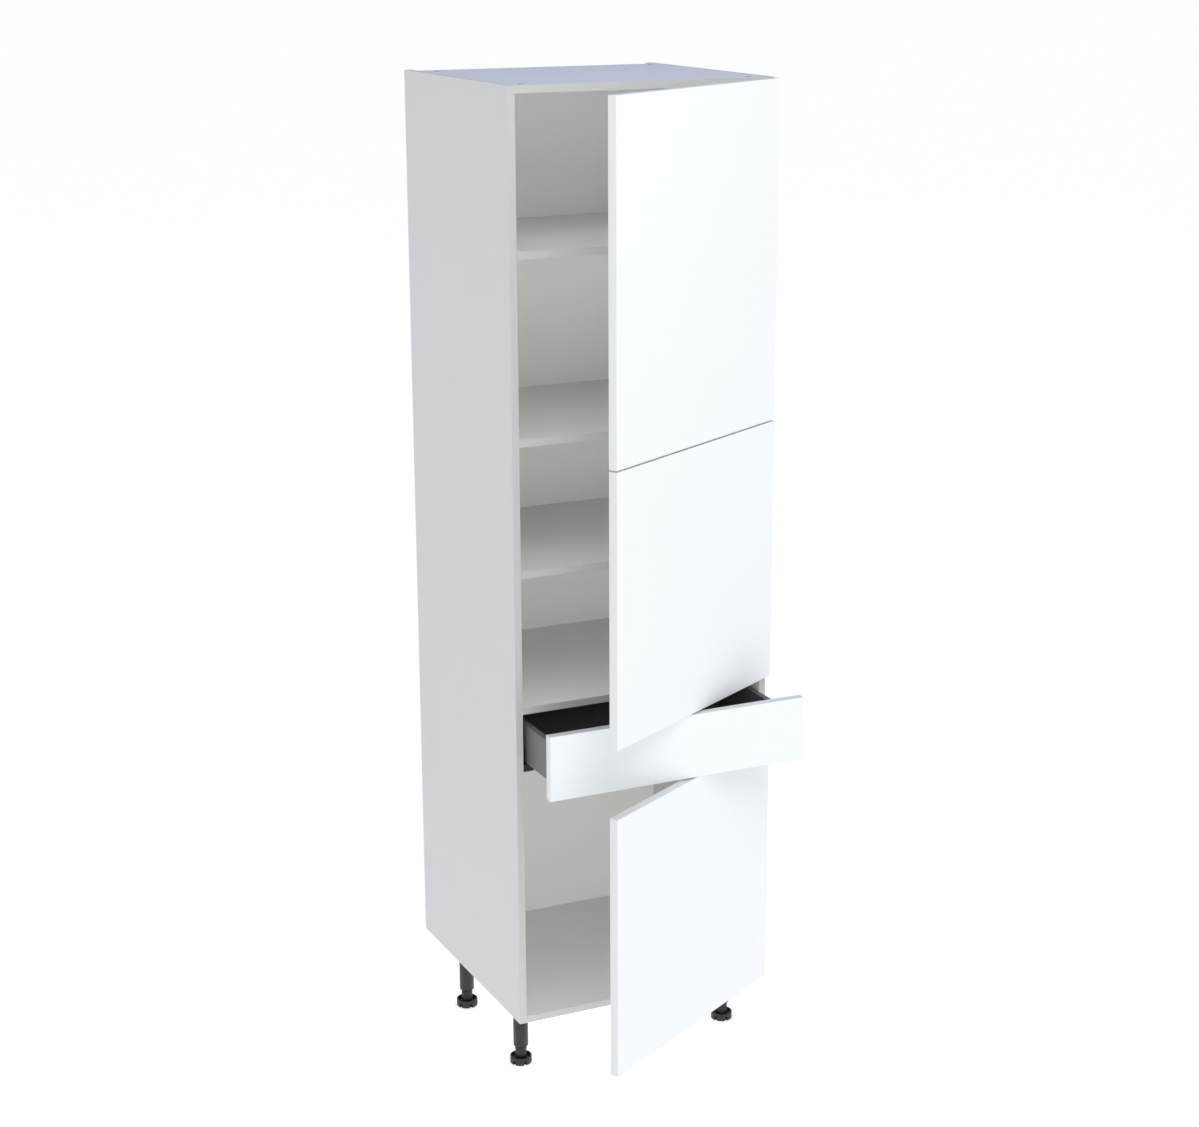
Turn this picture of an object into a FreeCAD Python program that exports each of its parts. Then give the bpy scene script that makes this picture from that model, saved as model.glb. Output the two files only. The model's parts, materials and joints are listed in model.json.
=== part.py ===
"""A tall pantry cabinet: a board carcass on four levelling legs, three doors hung on the
right and one metal-sided drawer.

+X points to the hinge side, -Y is the front and +Z is up. The origin is the middle of the
carcass's underside; the legs reach from there down to the floor. Everything is drawn shut,
and the doors are then swung and the drawer pulled by the rest values at the sheet's end.
"""
import FreeCAD, Part
import math
import os
import Sketcher

V = FreeCAD.Vector
Turn = FreeCAD.Rotation
X_AXIS, Y_AXIS, Z_AXIS = V(1, 0, 0), V(0, 1, 0), V(0, 0, 1)

CELLS = (
    # carcass
    ("unit_width", 600), ("carcass_height", 2016), ("side_depth", 570), ("board", 16),
    ("leg_height", 147), ("back_inset", 42), ("back_thickness", 8), ("groove_depth", 6),
    ("edge_band", 1), ("front_step", 144), ("system_inset", 37), ("system_pitch", 32),
    # adjustable shelves
    ("shelf_setback", 8), ("high_shelf", 1671.5), ("low_shelf", 1006.5), ("pin_radius", 2.5),
    # carcass joints
    ("cam_radius", 7.5), ("cam_depth", 12.5), ("cam_reach", 28), ("cam_inset", 32),
    ("bolt_bore", 3.5), ("dowel_radius", 4), ("dowel_length", 30), ("dowel_in_side", 9),
    # legs
    ("leg_side_inset", 45), ("leg_front_inset", 104), ("leg_back_inset", 145),
    ("tube_radius", 16.7), ("tube_bore", 13), ("tube_bottom", 38.8), ("stem_radius", 12.65),
    ("foot_radius", 24.3), ("foot_height", 17.6), ("socket_radius", 20),
    ("plate_width", 62), ("plate_thickness", 3.5),
    # doors and the drawer front
    ("front_joint", 3), ("door_thickness", 19), ("door_gap", 3), ("hinge_inset", 100),
    # hinges, seen from above
    ("pin_from_edge", 7), ("pin_behind_back", 9), ("hinge_pin_radius", 1),
    ("cup_radius", 17.5), ("cup_from_edge", 20.5), ("cup_depth", 13), ("cup_wall", 0.8),
    ("arm_thickness", 1.8), ("arm_width", 11), ("rail_height", 12), ("plate_foot", 1.8),
    # drawer and runners
    ("drawer_length", 480), ("drawer_side_top", 687), ("drawer_side_foot", 601.4),
    ("drawer_gap", 8), ("drawer_wall", 13), ("metal", 1), ("bottom_level", 604.5),
    ("drawer_back_top", 684), ("runner_foot", 584), ("runner_length", 470),
    # rest pose
    ("door_open", 30), ("drawer_open", 150),
)

doc = FreeCAD.newDocument("PantryCabinet")
sheet = doc.addObject("Spreadsheet::Sheet", "Sizes")


class Size:
    """A number that remembers the sheet expression it comes from."""

    def __init__(self, value, text):
        self.value, self.text = value, text

    def joined(self, other, sign, value):
        text = other.text if isinstance(other, Size) else repr(float(other))
        return Size(value, f"({self.text} {sign} {text})")

    def __add__(self, other):
        return self.joined(other, "+", self.value + number(other))

    def __sub__(self, other):
        return self.joined(other, "-", self.value - number(other))

    def __mul__(self, other):
        return self.joined(other, "*", self.value * number(other))

    def __truediv__(self, other):
        return self.joined(other, "/", self.value / number(other))

    def __neg__(self):
        return Size(-self.value, f"(0 - {self.text})")

    def __radd__(self, other):
        return self + other

    def __rsub__(self, other):
        return -self + other

    def __rmul__(self, other):
        return self * other


class Sizes:
    """The sheet's cells, as Size values under their aliases."""


def number(size):
    return size.value if isinstance(size, Size) else float(size)


def bind(thing, path, size):
    """Binds one property to the sheet, or sets it where it is a plain number."""
    if isinstance(size, Size):
        thing.setExpression(path, size.text)
    else:
        thing.setExpression(path, repr(float(size)))


s = Sizes()
for row, (alias, cell_value) in enumerate(CELLS, start=1):
    sheet.set(f"A{row}", alias)
    sheet.set(f"B{row}", str(cell_value))
    sheet.setAlias(f"B{row}", alias)
    setattr(s, alias, Size(float(cell_value), f"Sizes.{alias}"))
doc.recompute()

HALF = s.unit_width / 2
INNER = HALF - s.board
FRONT = -s.side_depth / 2
FLOOR = -s.leg_height
BACK_FACE = s.side_depth / 2 - s.back_inset - s.back_thickness
BOARD_DEPTH = BACK_FACE - FRONT - s.edge_band
SIDES = (-1, 1)
COS_OPEN = Size(math.cos(math.radians(s.door_open.value)), "cos(Sizes.door_open)")
SIN_OPEN = Size(math.sin(math.radians(s.door_open.value)), "sin(Sizes.door_open)")

PILOT_LENGTH = 12
SCREW_RADIUS = 2
SCREW_HEAD = 3.6
SCREW_HEAD_HEIGHT = 2

sub_parts = []


# ---------------------------------------------------------------- building blocks

def place(thing, at, axis=None, angle=0.0):
    """Turns a thing about one axis and binds where its own origin goes."""
    if axis is not None:
        thing.Placement = FreeCAD.Placement(V(), Turn(axis, angle))
    for letter, size in zip("xyz", at):
        bind(thing, f"Placement.Base.{letter}", size)
    return thing


def box(name, sizes, at):
    block = doc.addObject("Part::Box", name)
    for side, size in zip(("Length", "Width", "Height"), sizes):
        bind(block, side, size)
    return place(block, at)


def rod(name, radius, length, at, axis=Z_AXIS):
    """A cylinder that runs from a point along +X, +Y or +Z."""
    cylinder = doc.addObject("Part::Cylinder", name)
    bind(cylinder, "Radius", radius)
    bind(cylinder, "Height", length)
    if axis == X_AXIS:
        return place(cylinder, at, Y_AXIS, 90)
    if axis == Y_AXIS:
        return place(cylinder, at, X_AXIS, -90)
    return place(cylinder, at)


def group(name, things):
    compound = doc.addObject("Part::Compound", name)
    compound.Links = things
    return compound


def cut(name, base, tools):
    feature = doc.addObject("Part::Cut", name)
    feature.Base = base
    feature.Tool = tools[0] if len(tools) == 1 else group(f"{name}_tools", tools)
    return feature


def fuse(name, things):
    feature = doc.addObject("Part::MultiFuse", name)
    feature.Shapes = things
    return feature


def outline(sketch, points):
    """Closes a ring of straight lines through the points and dimensions every corner."""
    count = len(points)
    first = sketch.GeometryCount
    for i in range(count):
        start, end = points[i], points[(i + 1) % count]
        sketch.addGeometry(Part.LineSegment(V(number(start[0]), number(start[1]), 0),
                                            V(number(end[0]), number(end[1]), 0)), False)
    for i in range(count):
        corner = first + i
        sketch.addConstraint(Sketcher.Constraint("Coincident", corner, 2, first + (i + 1) % count, 1))
        for kind, axis_line, size in (("DistanceX", -2, points[i][0]), ("DistanceY", -1, points[i][1])):
            dimension(sketch, kind, axis_line, corner, size)


def dimension(sketch, kind, axis_line, corner, size):
    """Dimensions a corner from the sketch's origin, or puts it on the axis."""
    value = number(size)
    if abs(value) < 1e-9:
        sketch.addConstraint(Sketcher.Constraint("PointOnObject", corner, 1, axis_line))
        return
    ends = (-1, 1, corner, 1) if value > 0 else (corner, 1, -1, 1)
    index = sketch.addConstraint(Sketcher.Constraint(kind, *ends, abs(value)))
    if isinstance(size, Size):
        sketch.setExpression(f"Constraints[{index}]", (size if value > 0 else -size).text)


def sketched_body(name, plane, rings):
    body = doc.addObject("PartDesign::Body", name)
    sketch = body.newObject("Sketcher::SketchObject", f"{name}_outline")
    support = next(f for f in body.Origin.OriginFeatures if f.Role == plane)
    sketch.AttachmentSupport = [(support, "")]
    sketch.MapMode = "FlatFace"
    for ring in rings:
        outline(sketch, ring)
    return body, sketch


def pressed(name, plane, rings, length, midplane=False):
    """A section pushed along its plane's normal."""
    body, sketch = sketched_body(name, plane, rings)
    pad = body.newObject("PartDesign::Pad", f"{name}_pad")
    pad.Profile = sketch
    pad.Midplane = midplane
    bind(pad, "Length", length)
    return body


def turned(name, ring):
    """A section of (radius, height) corners turned once about the body's own Z."""
    body, sketch = sketched_body(name, "XZ_Plane", [ring])
    turn = body.newObject("PartDesign::Revolution", f"{name}_turn")
    turn.Profile = sketch
    turn.ReferenceAxis = (sketch, ["V_Axis"])
    turn.Angle = 360
    return body


def copies(name, master, spots, axis=None, angle=0.0):
    """Links to one master, one at each spot."""
    links = []
    for i, spot in enumerate(spots):
        link = doc.addObject("App::Link", f"{name}_{i + 1}")
        link.LinkedObject = master
        links.append(place(link, spot, axis, angle))
    return links


def sub_part(label, things, pull=None, swung=False):
    """Closes one node: its solids in one object, pulled or swung to the rest pose."""
    node = group(label, things if isinstance(things, list) else [things])
    node.Label = label
    if pull is not None:
        bind(node, "Placement.Base.y", -pull)
    if swung:
        place(node, (PIN_X - COS_OPEN * PIN_X + SIN_OPEN * PIN_Y,
                     PIN_Y - SIN_OPEN * PIN_X - COS_OPEN * PIN_Y, 0), Z_AXIS, 1)
        bind(node, "Placement.Rotation.Angle", s.door_open)
    sub_parts.append(node)


# ---------------------------------------------------------------- carcass

def fixed_boards():
    """Name, level of the underside, and which face its cam locks are let into."""
    return (
        ("bottom_panel", 0, "under"),
        ("drawer_cover_shelf", s.front_step * 5 - s.board / 2, "under"),
        ("middle_fixed_shelf", s.front_step * 9 - s.board / 2, "under"),
        ("top_panel", s.carcass_height - s.board, "over"),
    )


CAM_ROWS = (FRONT + s.cam_inset, BACK_FACE - s.cam_inset)
DOWEL_ROWS = (FRONT + s.cam_inset * 2, BACK_FACE - s.cam_inset * 2)
PIN_ROWS = (FRONT + s.system_inset, FRONT + s.system_inset + s.system_pitch * 13)
PIN_DEPTH = 12
PIN_STEPS = (-2, -1, 0, 1, 2)
PIN_RISE = 2.2
SHELF_PLAY = 1
BOLT_IN_SIDE = 11
BOLT_THREAD = 2.5
BOLT_HEAD = 3.3
BOLT_NECK = 2


def pin_level(shelf):
    """Height of the pin's middle, so that its spoon carries the shelf's underside."""
    return shelf - PIN_RISE


def inward(side, depth):
    """X where a hole of this depth starts, so that it opens at a side's inner face."""
    return INNER if side > 0 else -INNER - depth


def side_panel(label, side):
    left_face = HALF - s.board if side > 0 else -HALF
    blank = box(f"{label}_blank", (s.board, s.side_depth - s.edge_band, s.carcass_height),
                (left_face, FRONT + s.edge_band, 0))
    groove = box(f"{label}_groove", (s.groove_depth, s.back_thickness, s.carcass_height),
                 (inward(side, s.groove_depth), BACK_FACE, 0))
    holes = [groove]
    for shelf in (s.high_shelf, s.low_shelf):
        for row in PIN_ROWS:
            for step in PIN_STEPS:
                spot = (inward(side, PIN_DEPTH), row, pin_level(shelf) + s.system_pitch * step)
                holes.append(rod(f"{label}_pin_hole", s.pin_radius, PIN_DEPTH, spot, X_AXIS))
    for _, level, _ in fixed_boards():
        middle = level + s.board / 2
        for row in CAM_ROWS:
            spot = (inward(side, BOLT_IN_SIDE), row, middle)
            holes.append(rod(f"{label}_bolt_hole", BOLT_THREAD, BOLT_IN_SIDE, spot, X_AXIS))
        for row in DOWEL_ROWS:
            spot = (inward(side, s.dowel_in_side), row, middle)
            holes.append(rod(f"{label}_dowel_hole", s.dowel_radius, s.dowel_in_side, spot, X_AXIS))
    for row in RUNNER_SCREW_ROWS:
        spot = (inward(side, PILOT_LENGTH), row, RUNNER_SCREW_LEVEL)
        holes.append(rod(f"{label}_runner_pilot", SCREW_RADIUS, PILOT_LENGTH, spot, X_AXIS))
    if side > 0:
        for spot in hinge_plate_screw_spots():
            holes.append(rod(f"{label}_hinge_pilot", SCREW_RADIUS, PILOT_LENGTH, spot, X_AXIS))
    sub_part(label, cut(f"{label}_board", blank, holes))


def fixed_board(label, level, face):
    """A board between the sides, bored for its cam locks, bolts and dowels."""
    blank = box(f"{label}_blank", (INNER * 2, BOARD_DEPTH, s.board),
                (-INNER, FRONT + s.edge_band, level))
    cam_floor = level if face == "under" else level + s.board - s.cam_depth
    middle = level + s.board / 2
    holes = []
    for side in SIDES:
        for row in CAM_ROWS:
            holes.append(rod(f"{label}_cam_bore", s.cam_radius, s.cam_depth,
                             ((INNER - s.cam_reach) * side, row, cam_floor)))
            end = INNER - s.cam_reach if side > 0 else -INNER
            holes.append(rod(f"{label}_bolt_bore", s.bolt_bore, s.cam_reach, (end, row, middle), X_AXIS))
        depth = s.dowel_length - s.dowel_in_side
        for row in DOWEL_ROWS:
            end = INNER - depth if side > 0 else -INNER
            holes.append(rod(f"{label}_dowel_bore", s.dowel_radius, depth, (end, row, middle), X_AXIS))
    if label == "bottom_panel":
        for spot_x, spot_y in leg_screw_spots():
            holes.append(rod(f"{label}_leg_pilot", SCREW_RADIUS, PILOT_LENGTH, (spot_x, spot_y, level)))
    sub_part(label, cut(f"{label}_board", blank, holes))


def carcass_fittings():
    """Cam locks, their bolts and the dowels, at both ends of every fixed board."""
    cam_blank = rod("cam_blank", s.cam_radius, s.cam_depth, (0, 0, 0))
    slot_width, slot_depth = 1.6, 2
    slot_length = s.cam_radius * 1.4
    slots = [
        box("cam_slot_x", (slot_length, slot_width, slot_depth),
            (-slot_length / 2, -slot_width / 2, s.cam_depth - slot_depth)),
        box("cam_slot_y", (slot_width, slot_length, slot_depth),
            (-slot_width / 2, -slot_length / 2, s.cam_depth - slot_depth)),
    ]
    pocket_start = -0.5
    pocket = rod("cam_pocket", BOLT_HEAD + 0.3, s.cam_radius + 1,
                 (pocket_start, 0, s.cam_depth - s.board / 2), X_AXIS)
    cam = cut("cam", cam_blank, slots + [pocket])
    neck_length, head_length = 4, 3
    shoulder = s.cam_reach - neck_length - head_length
    bolt = turned("cam_bolt", [
        (0, -BOLT_IN_SIDE), (BOLT_THREAD, -BOLT_IN_SIDE), (BOLT_THREAD, 0), (BOLT_HEAD - 0.3, 0),
        (BOLT_HEAD - 0.3, shoulder), (BOLT_NECK, shoulder), (BOLT_NECK, s.cam_reach - head_length),
        (BOLT_HEAD, s.cam_reach - head_length), (BOLT_HEAD, s.cam_reach), (0, s.cam_reach)])
    dowel = rod("dowel", s.dowel_radius, s.dowel_length, (0, 0, 0))
    cams, bolts, dowels = [], [], []
    for label, level, face in fixed_boards():
        middle = level + s.board / 2
        for side in SIDES:
            for row in CAM_ROWS:
                seat = ((INNER - s.cam_reach) * side, row)
                flip = (X_AXIS, 180) if face == "under" else (None, 0)
                lift = level + s.cam_depth if face == "under" else level + s.board - s.cam_depth
                copy = copies(f"{label}_cam", cam, [(*seat, lift)], *flip)[0]
                if side < 0:
                    copy.Placement.Rotation = Turn(Z_AXIS, 180) * copy.Placement.Rotation
                cams.append(copy)
                bolts += copies(f"{label}_bolt", bolt, [(INNER * side, row, middle)], Y_AXIS, -90 * side)
            for row in DOWEL_ROWS:
                spot = ((INNER + s.dowel_in_side) * side, row, middle)
                dowels += copies(f"{label}_dowel", dowel, [spot], Y_AXIS, -90 * side)
    sub_part("cam_locks", cams)
    sub_part("cam_bolts", bolts)
    sub_part("wood_dowels", dowels)


def back_panel():
    width = INNER * 2 + s.groove_depth * 2
    sub_part("back_panel", box("back_board", (width, s.back_thickness, s.carcass_height),
                               (-width / 2, BACK_FACE, 0)))


def adjustable_shelf(label, shelf):
    sub_part(label, box(f"{label}_board",
                        (INNER * 2 - SHELF_PLAY * 2, BOARD_DEPTH - s.shelf_setback - SHELF_PLAY, s.board),
                        (-INNER + SHELF_PLAY, FRONT + s.edge_band + s.shelf_setback, shelf)))


def shelf_pins():
    """A plug in the hole, a collar against the side and a flat spoon under the shelf."""
    reach, spoon_length, spoon_half, spoon_thickness = 8, 9, 3, 1.8
    collar_radius, collar_thickness, collar_drop = 3.6, 0.9, 1.6
    plug = rod("pin_plug", s.pin_radius, reach, (-reach, 0, 0), X_AXIS)
    collar = rod("pin_collar", collar_radius, collar_thickness, (0, 0, -collar_drop), X_AXIS)
    spoon = box("pin_spoon", (spoon_length, spoon_half * 2, spoon_thickness),
                (0, -spoon_half, PIN_RISE - spoon_thickness))
    pin = fuse("shelf_pin", [plug, collar, spoon])
    pins = []
    for shelf in (s.high_shelf, s.low_shelf):
        for side in SIDES:
            spots = [(INNER * side, row, pin_level(shelf)) for row in PIN_ROWS]
            pins += copies("shelf_pin_copy", pin, spots, Z_AXIS, 180 if side > 0 else 0)
    sub_part("shelf_pins", pins)


def edge_bands():
    """The strips glued to the front edges of the boards."""
    band = s.edge_band
    sub_part("side_edge_bands", [
        box("side_band", (s.board, band, s.carcass_height), (-HALF, FRONT, 0)),
        box("side_band", (s.board, band, s.carcass_height), (INNER, FRONT, 0))])
    sub_part("panel_edge_bands", [
        box(f"{label}_band", (INNER * 2, band, s.board), (-INNER, FRONT, level))
        for label, level, _ in fixed_boards()])
    sub_part("shelf_edge_bands", [
        box("shelf_band", (INNER * 2 - SHELF_PLAY * 2, band, s.board),
            (-INNER + SHELF_PLAY, FRONT + s.shelf_setback, shelf))
        for shelf in (s.high_shelf, s.low_shelf)])


# ---------------------------------------------------------------- legs

LEG_SPOTS = (
    ("front_left", -HALF + s.leg_side_inset, FRONT + s.leg_front_inset),
    ("front_right", HALF - s.leg_side_inset, FRONT + s.leg_front_inset),
    ("back_left", -HALF + s.leg_side_inset, -FRONT - s.leg_back_inset),
    ("back_right", HALF - s.leg_side_inset, -FRONT - s.leg_back_inset),
)
PLATE_SCREW_REACH = 25
NOTCH_COUNT = 6


def leg_screw_spots():
    return [(x + PLATE_SCREW_REACH * i, y + PLATE_SCREW_REACH * j)
            for _, x, y in LEG_SPOTS for i in SIDES for j in SIDES]


def legs():
    width, thick = s.plate_width, s.plate_thickness
    socket_depth = 13
    plate_blank = fuse("leg_plate_blank", [
        box("leg_plate_square", (width, width, thick), (-width / 2, -width / 2, -thick)),
        rod("leg_plate_socket", s.socket_radius, socket_depth, (0, 0, -thick - socket_depth))])
    holes = [rod("leg_plate_bore", s.tube_radius, socket_depth, (0, 0, -thick - socket_depth))]
    holes += [rod("leg_plate_hole", SCREW_RADIUS, thick,
                  (PLATE_SCREW_REACH * i, PLATE_SCREW_REACH * j, -thick)) for i in SIDES for j in SIDES]
    plate = cut("leg_plate", plate_blank, holes)
    spots = [(x, y, 0) for _, x, y in LEG_SPOTS]
    sub_part("leg_plates", copies("leg_plate_copy", plate, spots))
    sub_part("leg_plate_screws", copies("leg_screw", wood_screw,
                                        [(x, y, -thick) for x, y in leg_screw_spots()]))
    tube_length = s.leg_height - thick - s.tube_bottom
    lip_width, taper_height = 0.6, 4
    tube = turned("leg_tube", [
        (s.tube_bore, 0), (s.tube_bore + lip_width, 0), (s.tube_radius, taper_height),
        (s.tube_radius, tube_length), (s.tube_bore, tube_length)])
    sub_part("leg_tubes", copies("leg_tube_copy", tube,
                                 [(x, y, FLOOR + s.tube_bottom) for _, x, y in LEG_SPOTS]))
    for label, x, y in LEG_SPOTS:
        sub_part(f"{label}_foot", copies(f"{label}_foot_copy", foot_master, [(x, y, FLOOR)]))


def foot():
    """A round foot: a raised rim round a sunk ring, grip notches, a stem up inside the tube."""
    soften, rim_width, ring_depth = 1, 3, 7
    ring_radius = s.foot_radius - rim_width
    stem_top = s.leg_height - 32
    turned_foot = turned("foot_turned", [
        (0, 0), (s.foot_radius - soften, 0), (s.foot_radius, soften),
        (s.foot_radius, s.foot_height - soften), (s.foot_radius - soften, s.foot_height),
        (ring_radius, s.foot_height), (ring_radius, s.foot_height - ring_depth),
        (s.stem_radius, s.foot_height - ring_depth), (s.stem_radius, stem_top), (0, stem_top)])
    notch_width, notch_depth, notch_height = 5.6, 6, 10.2
    notches = []
    for i in range(NOTCH_COUNT):
        bearing = 360 / NOTCH_COUNT * (i + 0.5)
        along, across = math.cos(math.radians(bearing)), math.sin(math.radians(bearing))
        start, edge = s.foot_radius - notch_depth, notch_width / 2
        notch = box("foot_notch", (notch_depth * 2, notch_width, notch_height), (0, 0, 0))
        corner = (start * along + edge * across, start * across - edge * along, 0)
        notches.append(place(notch, corner, Z_AXIS, bearing))
    return cut("foot", turned_foot, notches)


# ---------------------------------------------------------------- doors and hinges

DOORS = (("lower", 0, 4), ("middle", 5, 9), ("upper", 9, 14))
DOOR_WIDTH = s.unit_width - s.front_joint
DOOR_BACK = FRONT - s.door_gap
DOOR_FACE = DOOR_BACK - s.door_thickness
DOOR_EDGE = DOOR_WIDTH / 2
PIN_X = DOOR_EDGE - s.pin_from_edge
PIN_Y = DOOR_BACK - s.pin_behind_back
CUP_X = DOOR_EDGE - s.cup_from_edge
WING_SHIFT = 5.5
WING_REACH = 24
PLATE_REACH = 16


def door_span(first, last):
    """The underside and the height of a front that fills these steps of the grid."""
    return (s.front_step * first + s.front_joint / 2,
            s.front_step * (last - first) - s.front_joint)


def hinge_levels(first, last):
    low, height = door_span(first, last)
    return (low + s.hinge_inset, low + height - s.hinge_inset)


def all_hinge_levels():
    return [level for _, first, last in DOORS for level in hinge_levels(first, last)]


def hinge_plate_screw_spots():
    return [(INNER, FRONT + s.system_inset, level + PLATE_REACH * i)
            for level in all_hinge_levels() for i in SIDES]


def banded_front(label, low, height, holes):
    """A coated board with a strip glued to each of its four edges."""
    band = s.edge_band
    core = box(f"{label}_core", (DOOR_WIDTH - band * 2, s.door_thickness, height - band * 2),
               (-DOOR_WIDTH / 2 + band, DOOR_FACE, low + band))
    board = cut(f"{label}_board", core, holes)
    strips = [box(f"{label}_strip", (band, s.door_thickness, height), (x, DOOR_FACE, low))
              for x in (-DOOR_WIDTH / 2, DOOR_WIDTH / 2 - band)]
    strips += [box(f"{label}_strip", (DOOR_WIDTH - band * 2, s.door_thickness, band),
                   (-DOOR_WIDTH / 2 + band, DOOR_FACE, level)) for level in (low, low + height - band)]
    return board, strips


def door(name, first, last):
    low, height = door_span(first, last)
    levels = hinge_levels(first, last)
    wing_x = CUP_X - WING_SHIFT
    screw_spots = [(wing_x, level + WING_REACH * i) for level in levels for i in SIDES]
    holes = [rod(f"{name}_cup_bore", s.cup_radius, s.cup_depth,
                 (CUP_X, DOOR_BACK - s.cup_depth, level), Y_AXIS) for level in levels]
    holes += [rod(f"{name}_cup_pilot", SCREW_RADIUS, PILOT_LENGTH,
                  (x, DOOR_BACK - PILOT_LENGTH, z), Y_AXIS) for x, z in screw_spots]
    board, strips = banded_front(f"{name}_door", low, height, holes)
    sub_part(f"{name}_door_panel", board, swung=True)
    sub_part(f"{name}_door_edge_bands", strips, swung=True)
    sub_part(f"{name}_hinge_cups",
             copies(f"{name}_cup", hinge_cup_master,
                    [(CUP_X, DOOR_BACK, z) for z in levels], X_AXIS, -90),
             swung=True)
    pin_half = 9.8
    sub_part(f"{name}_hinge_pins",
             [rod(f"{name}_pin", s.hinge_pin_radius, pin_half * 2, (PIN_X, PIN_Y, z - pin_half))
              for z in levels], swung=True)
    sub_part(f"{name}_cup_screws",
             copies(f"{name}_cup_screw", wood_screw,
                    [(x, DOOR_BACK + 1, z) for x, z in screw_spots], X_AXIS, 90), swung=True)
    bumper_inset, bumper_radius, bumper_height = 14, 4, 2.6
    sub_part(f"{name}_door_bumpers",
             [rod(f"{name}_bumper", bumper_radius, bumper_height,
                  (-DOOR_EDGE + bumper_inset, DOOR_BACK, z), Y_AXIS)
              for z in (low + bumper_inset, low + height - bumper_inset)], swung=True)


def hinge_cup():
    """A round cup let into the door, with a rim and two screwed wings on the door's back."""
    rim, flange = 1.5, 1
    inside = s.cup_radius - s.cup_wall
    cup = turned("hinge_cup_turned", [
        (0, -s.cup_depth), (s.cup_radius, -s.cup_depth), (s.cup_radius, 0),
        (s.cup_radius + rim, 0), (s.cup_radius + rim, flange), (inside, flange),
        (inside, s.cup_wall - s.cup_depth), (0, s.cup_wall - s.cup_depth)])
    wing_width = 14
    plate = box("hinge_wing_plate", (wing_width, WING_REACH * 2, flange),
                (-WING_SHIFT - wing_width / 2, -WING_REACH, 0))
    ends = [rod("hinge_wing_end", wing_width / 2, flange, (-WING_SHIFT, WING_REACH * i, 0)) for i in SIDES]
    blank = fuse("hinge_cup_blank", [cup, plate, *ends])
    mouth = rod("hinge_cup_mouth", inside, s.cup_depth - s.cup_wall + flange,
                (0, 0, s.cup_wall - s.cup_depth))
    screw_holes = [rod("hinge_wing_hole", SCREW_RADIUS, flange, (-WING_SHIFT, WING_REACH * i, 0))
                   for i in SIDES]
    return cut("hinge_cup", blank, [mouth, *screw_holes])


ARM_PATH = ((0, 0), (-11.5, -1.9), (-14.5, 0.8), (-14.5, 16), (-20.4, 24), (-20.4, 78))
ARM_WALL = 1.5
ARM_SCREW_RADIUS = 2.5
ARM_SCREW_ROW = 60


def strip_ring(path, thickness):
    """Both long edges of a bent strip of this thickness, from its middle line."""
    middle = [V(x, y, 0) for x, y in path]
    runs = [(end - start).normalize() for start, end in zip(middle, middle[1:])]
    normals = [V(-run.y, run.x, 0) for run in runs]
    sides = []
    for i, point in enumerate(middle):
        before, after = normals[max(i - 1, 0)], normals[min(i, len(normals) - 1)]
        miter = (before + after).normalize()
        sides.append((point, miter * (0.5 / miter.dot(after))))
    left = [(thickness * reach.x + point.x, thickness * reach.y + point.y) for point, reach in sides]
    right = [(thickness * -reach.x + point.x, thickness * -reach.y + point.y)
             for point, reach in reversed(sides)]
    return left + right


def hinge_arm():
    """A cranked strip from the pin into the carcass, with two cheeks that straddle the rail."""
    knuckle_wall, pin_play = 0.9, 0.05
    strip = pressed("arm_strip", "XY_Plane", [strip_ring(ARM_PATH, s.arm_thickness)],
                    s.arm_width, midplane=True)
    knuckle = rod("arm_knuckle", s.hinge_pin_radius + knuckle_wall, s.arm_width, (0, 0, -s.arm_width / 2))
    top_x = ARM_PATH[-1][0]
    cheek_length, cheek_height = 46, 9
    cheeks = [box("arm_cheek", (cheek_height, cheek_length, ARM_WALL),
                  (top_x, ARM_PATH[-1][1] - cheek_length, z))
              for z in (-s.arm_width / 2, s.arm_width / 2 - ARM_WALL)]
    blank = fuse("arm_blank", [strip, knuckle, *cheeks])
    bore = rod("arm_bore", s.hinge_pin_radius + pin_play, s.arm_width, (0, 0, -s.arm_width / 2))
    screw_bore = rod("arm_screw_bore", ARM_SCREW_RADIUS, s.arm_thickness * 2,
                     (top_x - s.arm_thickness, ARM_SCREW_ROW, 0), X_AXIS)
    return cut("hinge_arm", blank, [bore, screw_bore])


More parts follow.
